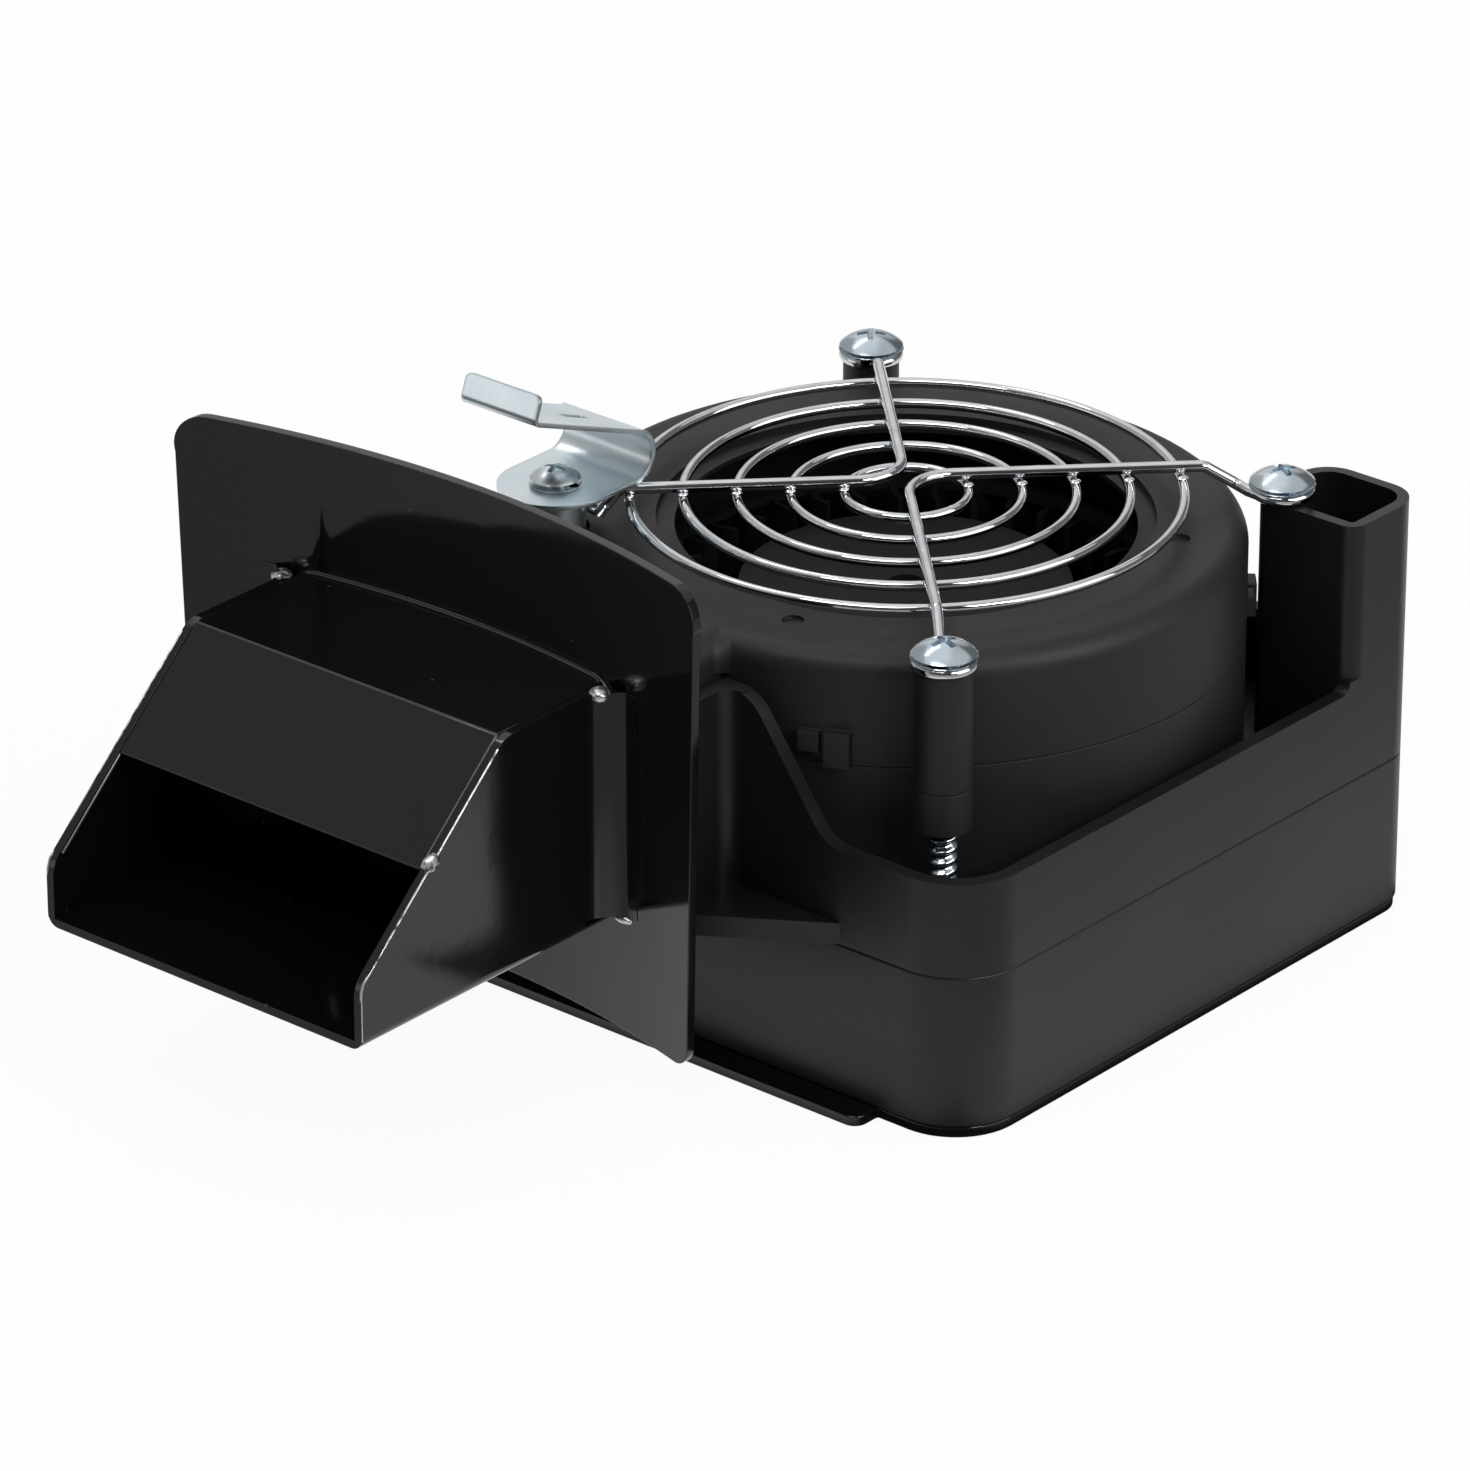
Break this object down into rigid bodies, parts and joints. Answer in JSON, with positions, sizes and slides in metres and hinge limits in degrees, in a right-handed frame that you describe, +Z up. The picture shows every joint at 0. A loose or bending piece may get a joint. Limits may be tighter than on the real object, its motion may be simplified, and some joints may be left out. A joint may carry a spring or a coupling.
{
  "type": "grill ignition fan",
  "caption": "Radial blower in a black box with a wire inlet guard, a hooded steel outlet duct on a curved flange plate, a cable chute and a spring clip for a grill wall.",
  "frame": {"origin": "on the underside of the base plate, under the fan axis", "axes": "+Z up along the fan axis, the outlet duct points to -Y, +X to the right seen from the duct's mouth side looking along +Y"},
  "size_m": [0.1169, 0.1632, 0.0847],
  "materials": {
    "black_paint": "gloss black paint",
    "rivet_steel": "plain",
    "black_screw": "black oxide",
    "box_plastic": "satin, lightly textured",
    "blower_plastic": "matte",
    "cup_steel": "plain",
    "ferrite": "dull",
    "ground_steel": "ground",
    "tube_brass": "turned",
    "copper_wire": "enamelled",
    "board": "satin",
    "guard_chrome": "bright plated",
    "zinc_screw": "bright zinc",
    "zinc_strip": "blue white zinc"
  },
  "bodies": {
    "housing": {"flange_plate": "black_paint", "duct_channel": "black_paint", "duct_cover": "black_paint", "collar_rivets": "rivet_steel", "base_plate": "black_paint", "base_screws": "black_screw", "lower_housing": "box_plastic", "upper_housing": "box_plastic", "blower_base": "blower_plastic", "blower_cover": "blower_plastic", "upper_bearing": "ground_steel", "lower_bearing": "ground_steel", "bearing_tube": "tube_brass", "stator_core": "cup_steel", "stator_windings": "copper_wire", "circuit_board": "board", "guard_rings": "guard_chrome", "guard_spokes": "guard_chrome", "guard_screws": "zinc_screw", "clip_spacer": "zinc_strip", "clip_screw": "zinc_screw", "latch_tongue": "zinc_strip"},
    "rotor": {"impeller": "blower_plastic", "rotor_cup": "cup_steel", "magnet_ring": "ferrite", "motor_shaft": "ground_steel", "shaft_clip": "cup_steel"},
    "clip_arm": {"latch_arm": "zinc_strip"}
  },
  "joints": [
    {"name": "wheel_spin", "type": "hinge", "parent": "housing", "child": "rotor", "pos_m": [0, 0, 0.0375], "axis": [0, 0, 1], "continuous": true},
    {"name": "arm_flex", "type": "hinge", "parent": "housing", "child": "clip_arm", "pos_m": [-0.0332, -0.0256, 0.0695], "axis": [-1, 0, 0], "range_deg": [-4, 8], "stiffness_Nm_per_rad": 0.5}
  ]
}
